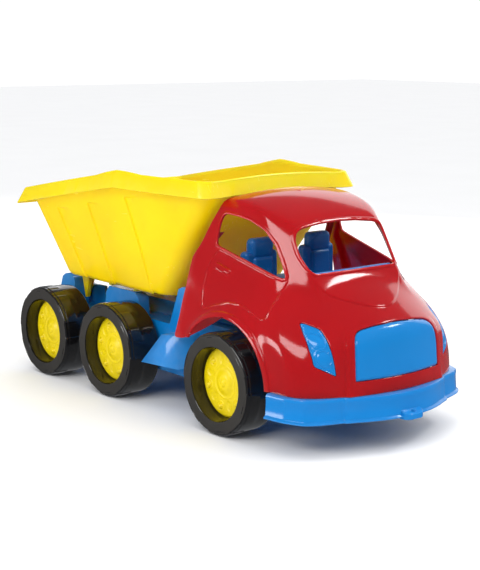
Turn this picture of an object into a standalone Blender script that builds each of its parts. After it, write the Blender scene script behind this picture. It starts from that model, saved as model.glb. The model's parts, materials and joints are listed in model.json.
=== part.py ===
"""Push-along toy tipper truck, built from separate snap-together plastic mouldings.

Frame: +X is the front of the truck, +Y its left side, +Z up.  The origin is on the ground under
the middle of the overall length and width.  Dimensions below are in millimetres; every mesh is
scaled to metres by MM when it is made.
"""
import math

import bmesh
import bpy
import numpy as np
from mathutils import Matrix, Vector

MM = 0.001
GAP = 0.3                       # clearance between pieces that rest on each other

# running gear
WHEEL_RADIUS = 80.0
WHEEL_STATIONS = (("rear", -329.7), ("middle", -131.8), ("front", 169.3))
TYRE_INNER_FACE = 125.0         # distance of the tyre's inner face from the centre plane
TYRE_OUTER_FACE = 187.0
AXLE_RADIUS = 3.0
AXLE_BORE = 3.5                 # running hole for the axle in tyres and chassis
AXLE_HALF_LENGTH = 166.0
HUB_RADIUS = 55.5

# tipper and its hinge
HINGE_X = -356.0
HINGE_Z = 134.0
HINGE_PIN_RADIUS = 4.0
HINGE_BORE = 4.4
EAR_CENTRE_Y = 75.0
EAR_THICKNESS = 10.0
BED_WALL = 3.0
BED_FLOOR_Z = 181.0             # flat inner face of the bed's floor
BED_UNDERSIDE = BED_FLOOR_Z - BED_WALL
RIM_PEAK_X = -100.0             # the rim's highest point along the side
RIM_WIDEST_X = -131.0
RIM_HALF_WIDTH = 190.0

# chassis
BEAM_TOP = 158.0                # raised middle of the deck, under the tipper
BEAM_HALF_WIDTH = 76.0
CHASSIS_HALF_WIDTH = 120.0
CHASSIS_WALL = 4.0
CHASSIS_BOTTOM = 50.0
REAR_DECK_Z = 118.0
MID_DECK_Z = 133.0
CAB_FLOOR_Z = 150.0
STEP_HALF_WIDTH = 173.0         # distance of the step box's outer face from the centre plane at x = 0
STEP_TAPER = 0.165
STEP_REACH = 185.0

# cab and bumper
CAB_WALL = 3.0
ARCH_RADIUS = 102.0
CAB_BOTTOM = 88.0
BUMPER_BOTTOM = 50.6
BUMPER_TOP = 87.5
BUMPER_WALL = 3.5
TAB_BOTTOM = 47.5
TAB_TOP = 58.5

RED = (0.53, 0.006, 0.010)
YELLOW = (0.95, 0.66, 0.006)
BLUE = (0.010, 0.235, 0.72)
BLACK = (0.012, 0.012, 0.012)
STEEL = (0.55, 0.56, 0.58)


# ---------------------------------------------------------------- scene and object helpers

def clear_scene():
    for item in list(bpy.data.objects):
        bpy.data.objects.remove(item, do_unlink=True)


def new_collection(name):
    group = bpy.data.collections.new(name)
    bpy.context.scene.collection.children.link(group)
    return group


def plastic(name, colour, roughness=0.25, metallic=0.0):
    made = bpy.data.materials.new(name)
    made.use_nodes = True
    shader = made.node_tree.nodes["Principled BSDF"]
    shader.inputs["Base Color"].default_value = (*colour, 1.0)
    shader.inputs["Roughness"].default_value = roughness
    shader.inputs["Metallic"].default_value = metallic
    return made


clear_scene()
PARTS = new_collection("push_along_truck")
CUTTERS = new_collection("cutters")


def place(name, mesh, colour=None, roughness=0.25, metallic=0.0):
    """Put a mesh in the scene as a finished part, or as a cutter when it has no colour."""
    item = bpy.data.objects.new(name, mesh)
    if colour is None:
        CUTTERS.objects.link(item)
        item.hide_render = True
        item.display_type = "WIRE"
    else:
        PARTS.objects.link(item)
        mesh.materials.clear()
        mesh.materials.append(plastic(name, colour, roughness, metallic))
    return item


def evaluated_mesh(item, name):
    """The object's mesh with its modifiers and transform applied, welded and facing outward."""
    bpy.context.view_layer.update()
    graph = bpy.context.evaluated_depsgraph_get()
    mesh = bpy.data.meshes.new_from_object(item.evaluated_get(graph))
    mesh.name = name
    mesh.transform(item.matrix_world)
    work = bmesh.new()
    work.from_mesh(mesh)
    bmesh.ops.remove_doubles(work, verts=work.verts, dist=1e-6)
    bmesh.ops.recalc_face_normals(work, faces=work.faces)
    work.to_mesh(mesh)
    work.free()
    return mesh


def smooth(mesh, angle=35.0):
    mesh.shade_smooth()
    mesh.set_sharp_from_angle(angle=math.radians(angle))
    return mesh


PLANES = {
    "XZ": Matrix(((1, 0, 0), (0, 0, -1), (0, 1, 0))).to_4x4(),
    "YZ": Matrix(((0, 0, 1), (1, 0, 0), (0, 1, 0))).to_4x4(),
    "XY": Matrix.Identity(4),
}


def prism(name, plane, outline, low, high):
    """Mesh of a flat outline in the named plane, extruded between two values on the third axis."""
    curve = bpy.data.curves.new(name, "CURVE")
    curve.dimensions = "2D"
    curve.fill_mode = "BOTH"
    curve.extrude = 0.5 * (high - low) * MM
    spline = curve.splines.new("POLY")
    spline.points.add(len(outline) - 1)
    for point, (across, up) in zip(spline.points, outline):
        point.co = (across * MM, up * MM, 0.0, 1.0)
    spline.use_cyclic_u = True
    item = bpy.data.objects.new(name, curve)
    CUTTERS.objects.link(item)
    middle = 0.5 * (high + low) * MM
    shift = -middle if plane == "XZ" else middle
    item.matrix_world = PLANES[plane] @ Matrix.Translation((0.0, 0.0, shift))
    mesh = evaluated_mesh(item, name)
    bpy.data.objects.remove(item, do_unlink=True)
    return mesh


def box_mesh(name, low, high):
    work = bmesh.new()
    size = [(b - a) * MM for a, b in zip(low, high)]
    centre = [(a + b) * 0.5 * MM for a, b in zip(low, high)]
    place_it = Matrix.Translation(centre) @ Matrix.Diagonal((*size, 1.0))
    bmesh.ops.create_cube(work, size=1.0, matrix=place_it)
    mesh = bpy.data.meshes.new(name)
    work.to_mesh(mesh)
    work.free()
    return mesh


AXIS_TURN = {
    "X": Matrix.Rotation(math.pi / 2, 4, "Y"),
    "Y": Matrix.Rotation(-math.pi / 2, 4, "X"),
    "Z": Matrix.Identity(4),
}


def rod_mesh(name, axis, centre, radius, length, segments=20, radius_end=None):
    """A cylinder or cone along one axis; radius_end is the radius at the positive end."""
    work = bmesh.new()
    end = radius if radius_end is None else radius_end
    turn = Matrix.Translation([c * MM for c in centre]) @ AXIS_TURN[axis]
    bmesh.ops.create_cone(
        work, cap_ends=True, segments=segments, radius1=radius * MM, radius2=end * MM,
        depth=length * MM, matrix=turn)
    mesh = bpy.data.meshes.new(name)
    work.to_mesh(mesh)
    work.free()
    return mesh


def turned_mesh(name, profile, steps):
    """Closed (radius, height) profile turned about Z, then laid over so Z becomes +Y."""
    work = bmesh.new()
    ring = [work.verts.new((radius * MM, 0.0, height * MM)) for radius, height in profile]
    for first, second in zip(ring, ring[1:] + ring[:1]):
        work.edges.new((first, second))
    mesh = bpy.data.meshes.new(name)
    work.to_mesh(mesh)
    work.free()
    item = bpy.data.objects.new(name, mesh)
    CUTTERS.objects.link(item)
    screw = item.modifiers.new("turn", "SCREW")
    screw.axis = "Z"
    screw.steps = steps
    screw.render_steps = steps
    screw.use_merge_vertices = True
    screw.merge_threshold = 0.00001
    item.matrix_world = AXIS_TURN["Y"]
    made = evaluated_mesh(item, name)
    bpy.data.objects.remove(item, do_unlink=True)
    return made


def combine(item, mesh, operation):
    """Join, cut or keep the overlap of a part and another mesh, with the exact solver."""
    tool = place(mesh.name, mesh)
    modifier = item.modifiers.new(mesh.name, "BOOLEAN")
    modifier.operation = operation
    modifier.solver = "EXACT"
    modifier.object = tool


def join(item, *meshes):
    for mesh in meshes:
        combine(item, mesh, "UNION")


def cut(item, *meshes):
    for mesh in meshes:
        combine(item, mesh, "DIFFERENCE")


def arc(centre, radius, start, end, count):
    """Points of a circular arc, angles in degrees."""
    angles = np.radians(np.linspace(start, end, count))
    return [(centre[0] + radius * math.cos(a), centre[1] + radius * math.sin(a)) for a in angles]


def mirrored(outline):
    """Half outline listed from one side of the centre line, closed by its reflection."""
    return list(outline) + [(-across, up) for across, up in reversed(outline) if abs(across) > 1e-6]


SIDES = (("right", -1.0), ("left", 1.0))


# ---------------------------------------------------------------- wheels, axles and retainers

def tyre_mesh():
    """Tyre and rim in one moulding: tread, two side faces, central web and axle boss."""
    width = TYRE_OUTER_FACE - TYRE_INNER_FACE
    profile = [
        (AXLE_BORE, 36.5), (9.0, 36.5), (9.0, 32.5), (55.0, 32.5), (57.8, width),
        (75.5, width), (79.2, width - 3.5), (WHEEL_RADIUS, width - 9.0), (WHEEL_RADIUS, 8.0),
        (76.0, 0.0), (60.0, 0.0), (56.0, 28.5), (9.0, 28.5), (9.0, 0.8), (AXLE_BORE, 0.8)]
    return smooth(turned_mesh("tyre", profile, 24))


def hub_mesh():
    """Hub cap: dished disc with a rim, a hollow centre dome and six lug bumps."""
    face = 40.0
    rim = HUB_RADIUS - 1.0
    profile = [
        (0.0, face + 8.0), (9.0, face + 6.5), (14.5, face), (rim - 2.0, face - 0.8),
        (rim, face - 3.0), (rim, face - 7.0), (rim - 3.0, face - 7.0), (rim - 3.5, face - 3.6),
        (12.0, face - 2.8), (8.0, face + 4.0), (0.0, face + 5.0)]
    body = place("hub_body", turned_mesh("hub_body", profile, 24))
    for index in range(6):
        angle = math.radians(60.0 * index + 15.0)
        centre = (41.0 * math.cos(angle), face + 0.3, 41.0 * math.sin(angle))
        join(body, rod_mesh(f"lug_{index}", "Y", centre, 6.2, 4.6, 8, 4.6))
    return smooth(evaluated_mesh(body, "hub_cap"))


def side_turn(side):
    """Wheel mouldings are drawn facing +Y; the right-hand ones are turned round."""
    return Matrix.Rotation(math.pi, 4, "Z") if side < 0 else Matrix.Identity(4)


def add_wheels():
    tyre = tyre_mesh()
    hub = hub_mesh()
    hub_turns = {"rear": 20.0, "middle": 0.0, "front": 35.0}
    for station, x in WHEEL_STATIONS:
        for label, side in SIDES:
            centre = Vector((x * MM, side * TYRE_INNER_FACE * MM, WHEEL_RADIUS * MM))
            frame = Matrix.Translation(centre) @ side_turn(side)
            item = place(f"tyre_{station}_{label}", tyre.copy(), BLACK, 0.18)
            item.matrix_world = frame
            cap = place(f"hub_cap_{station}_{label}", hub.copy(), YELLOW, 0.3)
            cap.matrix_world = frame @ Matrix.Rotation(math.radians(hub_turns[station]), 4, "Y")


def add_axles():
    for station, x in WHEEL_STATIONS:
        centre = (x, 0.0, WHEEL_RADIUS)
        mesh = rod_mesh("axle", "Y", centre, AXLE_RADIUS, 2.0 * AXLE_HALF_LENGTH)
        place(f"axle_{station}", smooth(mesh), STEEL, 0.3, 1.0)
        for label, side in SIDES:
            middle = (x, side * (TYRE_INNER_FACE + 37.9), WHEEL_RADIUS)
            washer = place(
                f"axle_retainer_{station}_{label}", rod_mesh("retainer", "Y", middle, 8.5, 1.6),
                STEEL, 0.35, 1.0)
            cut(washer, rod_mesh("retainer_bore", "Y", middle, AXLE_RADIUS + GAP, 6.0))


# ---------------------------------------------------------------- chassis

def step_mesh(name, outline, side, inner_y, inset):
    """Step box, or the hollow in it, whose outer face runs in towards the front."""
    low, high = sorted((side * inner_y, side * STEP_REACH))
    item = place(name, prism(name, "XZ", outline, low, high))
    taper = [(x, side * (STEP_HALF_WIDTH - STEP_TAPER * x - inset)) for x in (-60.0, 80.0)]
    taper += [(80.0, side * 200.0), (-60.0, side * 200.0)]
    cut(item, prism(name + "_taper", "XY", taper, 40.0, 160.0))
    return evaluated_mesh(item, name)


def add_chassis():
    half = CHASSIS_HALF_WIDTH
    wall = CHASSIS_WALL
    outline = [
        (-392, CHASSIS_BOTTOM), (352, CHASSIS_BOTTOM), (352, 84), (330, 90), (312, CAB_FLOOR_Z),
        (64, CAB_FLOOR_Z), (60, 200), (2, 200), (-9, 195), (-34, MID_DECK_Z), (-240, MID_DECK_Z),
        (-246, REAR_DECK_Z), (-390, REAR_DECK_Z)]
    cavity = [
        (-388, CHASSIS_BOTTOM - 5), (348, CHASSIS_BOTTOM - 5), (348, 81), (327, 87),
        (309, CAB_FLOOR_Z - wall), (60.5, CAB_FLOOR_Z - wall), (56.5, 196), (4, 196), (-6, 191),
        (-31, MID_DECK_Z - wall), (-238, MID_DECK_Z - wall), (-244, REAR_DECK_Z - wall),
        (-387, REAR_DECK_Z - wall)]
    body = place("chassis", prism("chassis", "XZ", outline, -half, half), BLUE)
    rear_tower = [
        (-390, 110), (-387, 150), (-381, 166), (-371, 172), (-350, 172), (-340, 164), (-336, 110)]
    mid_tower = [(-228, 112), (-222, 160), (-213, 172), (-135, 172), (-124, 162), (-119, 112)]
    step = [(-34, 77), (49, 77), (44, 130), (13, 130)]
    beam = [(-205, 110), (-201, 152), (-195, BEAM_TOP), (-24, BEAM_TOP), (-30, 110)]
    cheek = arc((HINGE_X, HINGE_Z), 20.0, 60.0, 180.0, 6)
    cheek += [(HINGE_X - 22, 110), (HINGE_X + 56, 110), (HINGE_X + 50, 152)]
    join(body, prism("deck_beam", "XZ", beam, -BEAM_HALF_WIDTH, BEAM_HALF_WIDTH))
    for label, side in SIDES:
        low, high = sorted((side * 82.5, side * 110))
        join(body, prism("rear_tower_" + label, "XZ", rear_tower, low, high))
        low, high = sorted((side * 98.5, side * half))
        join(body, prism("mid_tower_" + label, "XZ", mid_tower, low, high))
        join(body, step_mesh("step_box_" + label, step, side, half - 3, 0.0))
        low, high = sorted((side * 61.0, side * 67.5))
        join(body, prism("hinge_cheek_" + label, "XZ", cheek, low, high))
    for station, x in WHEEL_STATIONS:
        for label, side in SIDES:
            centre = (x, side * (half + 1.0), WHEEL_RADIUS)
            join(body, rod_mesh(f"axle_boss_{station}_{label}", "Y", centre, 10.0, 7.0, 16))
    cut(body, prism("chassis_cavity", "XZ", cavity, wall - half, half - wall))
    hollow_beam = [(-200, 105), (-197, 149), (-192, BEAM_TOP - 3), (-40, BEAM_TOP - 3), (-40, 105)]
    cut(body, prism("beam_hollow", "XZ", hollow_beam, 3 - BEAM_HALF_WIDTH, BEAM_HALF_WIDTH - 3))
    hollow_rear = [
        (-386, 100), (-383, 149), (-378, 163), (-370, 168), (-352, 168), (-344, 161), (-340, 100)]
    hollow_mid = [(-223, 100), (-217, 159), (-210, 168), (-138, 168), (-128, 160), (-124, 100)]
    hollow_step = [(-31, 70), (46, 70), (41, 126.5), (15, 126.5)]
    for label, side in SIDES:
        low, high = sorted((side * 86.0, side * 106.5))
        cut(body, prism("rear_tower_hollow_" + label, "XZ", hollow_rear, low, high))
        low, high = sorted((side * 102.0, side * (half - wall + 0.5)))
        cut(body, prism("mid_tower_hollow_" + label, "XZ", hollow_mid, low, high))
        cut(body, step_mesh("step_hollow_" + label, hollow_step, side, half + 0.5, 3.5))
        centre = (HINGE_X, side * EAR_CENTRE_Y, HINGE_Z)
        cut(body, rod_mesh("hinge_bore_" + label, "Y", centre, HINGE_BORE, 36.0, 24))
        for station, x in WHEEL_STATIONS:
            middle = (x, side * half, WHEEL_RADIUS)
            cut(body, rod_mesh(f"axle_bore_{station}_{label}", "Y", middle, AXLE_BORE, 30.0))
        cut(body, rod_mesh("screw_hole_" + label, "Z", (300, side * 60, CAB_FLOOR_Z), 2.6, 20.0, 16))
    return body


# ---------------------------------------------------------------- tipper

def rim_height(x):
    """Height of the rim's lower edge along the side: a low peak behind the middle."""
    behind = max(RIM_PEAK_X - x, 0.0)
    ahead = max(x - RIM_PEAK_X, 0.0)
    return 359.0 - 0.160 * behind - 0.00004 * behind ** 2 - 0.010 * ahead


def rim_half_width(x):
    """Half width of the rim's lower edge, widest a little behind the middle."""
    behind = max(RIM_WIDEST_X - x, 0.0)
    ahead = max(x - RIM_WIDEST_X, 0.0)
    return RIM_HALF_WIDTH - 0.0175 * behind - 0.05 * ahead - 0.00025 * ahead ** 2


def rounded_rectangle(rear, front, half, radius_rear, radius_front, count=4):
    """Plan outline of one half (y > 0), from the rear centre round to the front centre."""
    rear_corner = arc((rear + radius_rear, half - radius_rear), radius_rear, 180, 90, count)
    front_corner = arc((front - radius_front, half - radius_front), radius_front, 90, 0, count)
    side = [(x, half) for x in np.linspace(rear + radius_rear, front - radius_front, 9)[1:-1]]
    ends = [(rear, 0.0), (rear, 0.5 * half)], [(front, 0.5 * half), (front, 0.0)]
    return ends[0] + rear_corner + side + front_corner + ends[1]


def bed_rings():
    """Half rings of the tipper's inner surface, from the floor up and out to the rim's edge."""
    floor = [(x, y, BED_FLOOR_Z) for x, y in rounded_rectangle(-330, -40, 124, 14, 22)]
    knee = [(x, y, BED_FLOOR_Z + 4) for x, y in rounded_rectangle(-335, -35, 128, 16, 24)]

    def upper(rear, front, inset, rise, ridge, radius_rear, radius_front):
        ring = []
        for x, y in rounded_rectangle(rear, front, RIM_HALF_WIDTH, radius_rear, radius_front):
            width = y / RIM_HALF_WIDTH * (rim_half_width(x) - inset)
            arch = 5.0 * max(0.0, 1.0 - (y / 150.0) ** 2)
            height = rim_height(x) + rise + ridge * max(0.0, 1.0 - abs(x - RIM_PEAK_X) / 60.0)
            ring.append((x, width, height + (arch if x > 60 or x < -360 else 0.0)))
        return ring

    wall_top = upper(-386, 95, 22.5, -3.0, 0.0, 20, 30)
    rim_root = upper(-396, 100, 17.5, 21.0, 3.0, 15, 24)
    rim_top = upper(-404, 104, 10.0, 26.6, 3.0, 10, 20)
    rim_edge = upper(-416, 114.5, 0.0, 0.0, 0.0, 6, 17)
    return [floor, knee, wall_top, rim_root, rim_top, rim_edge]


def loft_mesh(name, rings, floor=False):
    """Open surface through half rings of equal point count; floor closes off the first ring."""
    work = bmesh.new()
    rows = [[work.verts.new([c * MM for c in point]) for point in ring] for ring in rings]
    for lower, higher in zip(rows, rows[1:]):
        for a, b, c, d in zip(lower, lower[1:], higher[1:], higher):
            work.faces.new((a, b, c, d))
    if floor:
        work.faces.new(tuple(reversed(rows[0])))
    mesh = bpy.data.meshes.new(name)
    work.to_mesh(mesh)
    work.free()
    return mesh


def add_mirror(item):
    modifier = item.modifiers.new("mirror", "MIRROR")
    modifier.use_axis = (False, True, False)
    modifier.merge_threshold = 0.00001


def add_tipper():
    body = place("tipper_bed", loft_mesh("tipper_bed", bed_rings(), floor=True), YELLOW)
    add_mirror(body)
    solid = body.modifiers.new("wall", "SOLIDIFY")
    solid.thickness = BED_WALL * MM
    solid.offset = -1.0
    solid.use_even_offset = True
    ear = arc((HINGE_X, HINGE_Z), 9.0, 180.0, 350.0, 7)
    ear += [(HINGE_X + 31, BED_UNDERSIDE + 1.5), (HINGE_X + 20.5, BED_UNDERSIDE + 2), (HINGE_X + 4.5, 219)]
    for label, side in SIDES:
        low = side * EAR_CENTRE_Y - 0.5 * EAR_THICKNESS
        high = low + EAR_THICKNESS
        join(body, prism("ear_" + label, "XZ", ear, low, high))
        centre = (HINGE_X, side * EAR_CENTRE_Y, HINGE_Z)
        cut(body, rod_mesh("ear_bore_" + label, "Y", centre, HINGE_BORE, 20.0, 24))
        for place_x in (-215, -140):
            low, high = sorted((side * 102.0, side * 116.0))
            pad = box_mesh(
                "rest_pad", (place_x - 5, low, 172 + GAP), (place_x + 5, high, BED_UNDERSIDE + 1.5))
            join(body, pad)
        guide = [(-322, BED_UNDERSIDE + 1.2), (-298, BED_UNDERSIDE + 1.2), (-307, 136), (-311, 136)]
        low, high = sorted((side * 98.0, side * 106.0))
        join(body, prism("guide_leg_" + label, "XZ", guide, low, high))
    return body


def add_hinge_pins():
    for label, side in SIDES:
        centre = (HINGE_X, side * 73.0, HINGE_Z)
        pin = rod_mesh("pin", "Y", centre, HINGE_PIN_RADIUS, 28.0, 24)
        item = place("hinge_pin_" + label, smooth(pin), BLUE)
        head = rod_mesh("pin_head_" + label, "Y", (HINGE_X, side * 59.0, HINGE_Z), 7.0, 3.4, 24)
        join(item, head)


# ---------------------------------------------------------------- cab surface

def soft_max(radius, *fields):
    stack = np.stack(np.broadcast_arrays(*fields))
    top = stack.max(axis=0)
    return top + radius * np.log(np.exp((stack - top) / radius).sum(axis=0))


def soft_min(radius, *fields):
    return -soft_max(radius, *[-field for field in fields])


def nose_field(x, y, z):
    """Front face, bulging forward in the middle, with a slightly proud centre section."""
    lean = 0.055 * (z - 109) + 0.0005 * np.maximum(z - 109, 0) ** 2
    face = x - (387.5 - lean - 0.0016 * y ** 2)
    return soft_min(2.0, soft_max(3.0, face, y - 99), face + 4.0)


def lower_body_field(x, y, z):
    """Bonnet, front corners, doors and the sloping shoulder below the windows."""
    corner = 0.64 * x + 0.77 * y - (338 - 0.0034 * np.maximum(z - 90, 0) ** 2)
    slope = 0.39 + 0.0023 * (x - 105)
    shoulder = (y - (165 - 0.0845 * (x - 105) - slope * (z - 195))) / np.sqrt(1 + slope ** 2)
    bonnet = (z - (243 - 0.57 * (x - 282) - 0.0012 * y ** 2)) / 1.15
    brow = (z - (206 - 0.68 * (x - 343) - 0.0021 * y ** 2)) / 1.2
    top = soft_max(2.0, bonnet, brow)
    return soft_max(6.0, nose_field(x, y, z), corner, y - 168, shoulder, top)


def greenhouse_field(x, y, z):
    """Windscreen, its corner pillars, side windows and roof."""
    windscreen = 0.874 * (x - 280) + 0.485 * (z - 255)
    pillar = 0.615 * (x - 280) + 0.696 * (y - 89) + 0.370 * (z - 255)
    side = (y - (127 - 0.116 * (x - 109) - 0.2 * (z - 314))) / 1.03
    roof = (z - (366 - 0.00254 * np.maximum(x - 120, 0) ** 2 - 0.0008 * y ** 2)) / 1.1
    return soft_max(4.0, soft_max(2.0, windscreen, pillar), side, roof)


def cab_field(x, y, z):
    """Negative inside the cab, zero on its outer surface; y is measured from the centre plane."""
    wheel_x = WHEEL_STATIONS[2][1]
    radius = np.hypot(x - wheel_x, z - WHEEL_RADIUS)
    flare = soft_max(3.0, y - (172 - 0.9 * np.abs(radius - 103)), radius - 140)
    return soft_min(4.0, lower_body_field(x, y, z), greenhouse_field(x, y, z), flare)


def resample(points, count):
    """Points spaced evenly along a polyline."""
    points = np.array(points, float)
    run = np.concatenate(([0.0], np.cumsum(np.hypot(*np.diff(points, axis=0).T))))
    at = np.linspace(0.0, run[-1], count)
    return np.column_stack((np.interp(at, run, points[:, 0]), np.interp(at, run, points[:, 1])))


def cab_boundaries():
    """Side-view curves the cab wall spans: the profile above, and the arch and rear edge below."""
    profile = [
        (390, CAB_BOTTOM), (388, 110), (384, 156), (378, 187), (343, 206), (282, 242), (280, 255),
        (240, 327), (215, 348), (190, 357), (152, 364), (123, 366)]
    wheel = (WHEEL_STATIONS[2][1], WHEEL_RADIUS)
    start = math.degrees(math.asin((CAB_BOTTOM - WHEEL_RADIUS) / ARCH_RADIUS))
    arch = arc(wheel, ARCH_RADIUS, start, 147.0, 15)
    rear = [
        (66, 133), (48, 132), (58, 172), (65, 212), (67, 262), (78, 282), (90, 316), (108, 350.5)]
    lower = arch + rear
    return resample(profile, len(lower)), np.array(lower)


def cab_half_points(columns):
    """Rows of points on the half cab surface, found by walking out from the centre plane."""
    upper, lower = cab_boundaries()
    turn = np.linspace(0.0, math.pi / 2, columns)
    along = np.cos(turn) ** 0.6
    across = 170.0 * np.sin(turn) ** 0.6
    reach_x = (upper - lower)[:, :1] * along
    reach_z = (upper - lower)[:, 1:] * along
    reach_y = np.ones_like(reach_x) * across
    near = np.zeros_like(reach_x)
    far = np.full_like(reach_x, 1.7)
    for _ in range(30):
        middle = 0.5 * (near + far)
        here_x = lower[:, :1] + reach_x * middle
        here_z = lower[:, 1:] + reach_z * middle
        inside = cab_field(here_x, reach_y * middle, here_z) < 0
        near = np.where(inside, middle, near)
        far = np.where(inside, far, middle)
    x = lower[:, :1] + reach_x * near
    z = lower[:, 1:] + reach_z * near
    return np.stack((x, reach_y * near, z), axis=-1)


def cab_skin(name, thickness, sunk=0.0):
    """The cab's wall as a solid mesh; sunk moves the outer face inward."""
    surface = loft_mesh(name, cab_half_points(11))
    item = place(name, surface)
    add_mirror(item)
    solid = item.modifiers.new("wall", "SOLIDIFY")
    solid.thickness = thickness * MM
    solid.offset = -1.0
    solid.use_even_offset = False
    mesh = evaluated_mesh(item, name)
    bpy.data.objects.remove(item, do_unlink=True)
    if sunk:
        mesh.transform(Matrix.Translation((-sunk * MM, 0.0, 0.0)))
    return mesh


# half outlines of the windscreen, side window, grille and headlight openings
WINDSCREEN = [
    (0, 254.5), (82, 254.5), (89, 260), (94, 281), (93, 303), (87, 315), (75, 319), (38, 323),
    (0, 324.5)]
SIDE_WINDOW = [
    (111, 284), (109, 291), (109, 314), (112, 327), (118, 332), (144, 330), (170, 326), (203, 314),
    (225, 294), (242, 267), (252.5, 247)]
GRILLE = [(0, 109.2), (86.5, 109.2), (86.5, 152), (83, 166), (73, 178), (44, 186), (0, 188.6)]
HEADLIGHT = [
    (113, 118), (141.5, 134), (141, 157), (138, 177), (134, 191), (130, 191.6), (116.5, 184),
    (117.5, 160)]


def grow(outline, amount):
    """Outline moved outward by an amount, for a counter-clockwise list of points."""
    grown = []
    count = len(outline)
    for index, point in enumerate(outline):
        before = Vector(outline[index - 1])
        after = Vector(outline[(index + 1) % count])
        here = Vector(point)
        first = (here - before).normalized()
        second = (after - here).normalized()
        normal = Vector((first.y + second.y, -first.x - second.x))
        scale = amount * 2.0 / max(normal.length_squared, 1.0)
        grown.append(tuple(here + normal * scale))
    return grown


def headlight_outline(side, amount=0.0):
    outline = grow(HEADLIGHT, amount)
    if side > 0:
        return outline
    return [(-across, up) for across, up in reversed(outline)]


def add_cab():
    body = place("cab_shell", cab_skin("cab_shell", CAB_WALL), RED)
    cut(body, prism("windscreen_opening", "YZ", mirrored(WINDSCREEN), 200, 330))
    cut(body, prism("side_window_opening", "XZ", SIDE_WINDOW, -200, 200))
    cut(body, prism("grille_opening", "YZ", grow(mirrored(GRILLE), GAP), 340, 410))
    for label, side in SIDES:
        opening = headlight_outline(side, GAP)
        cut(body, prism("headlight_opening_" + label, "YZ", opening, 280, 400))
        low = CAB_FLOOR_Z + GAP
        high = 223.5
        middle = (300, side * 60, 0.5 * (low + high))
        post = rod_mesh("cab_post_" + label, "Z", middle, 6.5, high - low, 16)
        join(body, post)
        centre = (300, side * 60, CAB_FLOOR_Z + 10)
        cut(body, rod_mesh("post_bore_" + label, "Z", centre, 2.3, 24.0, 16))
    return body


def add_front_panels():
    grille = place("grille_panel", cab_skin("grille_panel", 3.0, 1.0), BLUE)
    combine(grille, prism("grille_outline", "YZ", mirrored(GRILLE), 340, 410), "INTERSECT")
    for label, side in SIDES:
        lamp = place("headlight_" + label, cab_skin("headlight_" + label, 3.0, 1.0), BLUE)
        outline = headlight_outline(side)
        combine(lamp, prism("headlight_outline_" + label, "YZ", outline, 280, 400), "INTERSECT")


def add_cab_screws():
    """Two self-tapping screws from below through the chassis floor into the cab's posts."""
    for label, side in SIDES:
        shank = rod_mesh("screw_shank", "Z", (300, side * 60, 155.0), 1.8, 20.0, 12)
        body = place("cab_screw_" + label, smooth(shank), STEEL, 0.35, 1.0)
        join(body, rod_mesh("screw_head_" + label, "Z", (300, side * 60, 144.2), 4.5, 2.6, 12))


def add_interior():
    """One blue moulding: floor, dashboard and two seats with headrests."""
    floor_low = CAB_FLOOR_Z + GAP
    body = place("cabin_interior", box_mesh("cabin_interior", (72, -104, floor_low), (284, 104, 154)), BLUE)
    dash = [(248, 152), (262, 152), (274, 250), (272, 254.5), (258, 252), (248, 236)]
    join(body, prism("dashboard", "XZ", dash, -84, 84))
    seat = [
        (104, 152), (188, 152), (190, 190), (184, 196), (139, 192), (136, 268), (131, 271),
        (119, 271), (114, 266)]
    headrest = [(116, 270.5), (134, 270.5), (136, 286), (132, 291), (120, 291), (115, 286)]
    for label, side in SIDES:
        low, high = sorted((side * 28, side * 94))
        join(body, prism("seat_" + label, "XZ", seat, low, high))
        low, high = sorted((side * 38, side * 84))
        join(body, prism("headrest_" + label, "XZ", headrest, low, high))
    return body


# ---------------------------------------------------------------- bumper

def bumper_path(outward):
    """Plan outline of half the bumper from its rear end to the nose, moved outward."""
    points = [(282, 178), (318, 173), (345, 162), (356, 146), (365, 121), (369, 106), (374, 103)]
    nose = [(401.5 - 0.0028 * y * y, y) for y in (90, 70, 50, 25, 0)]
    path = points + nose
    shifted = []
    for index, here in enumerate(path):
        before = Vector(path[max(index - 1, 0)])
        after = Vector(path[min(index + 1, len(path) - 1)])
        along = (after - before).normalized()
        normal = Vector((-along.y, along.x))
        shifted.append((here[0] + outward * normal.x, here[1] + outward * normal.y))
    shifted[-1] = (path[-1][0] + outward, 0.0)
    return shifted


def bumper_ring(outward, height):
    return [(x, y, height) for x, y in bumper_path(outward)]


def add_bumper():
    rings = [
        bumper_ring(6.0, BUMPER_BOTTOM), bumper_ring(6.0, 53.0), bumper_ring(2.2, 55.0),
        bumper_ring(0.0, BUMPER_TOP - 2.0), bumper_ring(-1.5, BUMPER_TOP), bumper_ring(-11.0, BUMPER_TOP)]
    body = place("front_bumper", loft_mesh("front_bumper", list(reversed(rings))), BLUE)
    add_mirror(body)
    solid = body.modifiers.new("wall", "SOLIDIFY")
    solid.thickness = BUMPER_WALL * MM
    solid.offset = -1.0
    solid.use_even_offset = True
    tab = [(398, -20)] + arc((404, -7), 12.0, -75, 0, 5) + arc((404, 7), 12.0, 0, 75, 5) + [(398, 20)]
    join(body, prism("tow_tab", "XY", tab, TAB_BOTTOM, TAB_TOP))
    cut(body, rod_mesh("tow_hole", "Z", (408.5, 0, 54), 3.4, 20.0, 16))
    return body


add_wheels()
add_axles()
add_chassis()
add_tipper()
add_hinge_pins()
add_cab()
add_front_panels()
add_cab_screws()
add_interior()
add_bumper()
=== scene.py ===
"""Looks of the push-along toy tipper truck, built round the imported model.

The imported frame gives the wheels, hinge and plain solids.  The visible mouldings are rebuilt here
at full detail: each skin is a grid on a smooth surface that is split along the lines of its
openings, ridges and steps, lifted there, and given its wall thickness.  Shapes are worked out in
millimetres and scaled to metres by MM.
"""
import json
import math

import bmesh
import bpy
import numpy as np
from mathutils import Matrix, Vector

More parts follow.
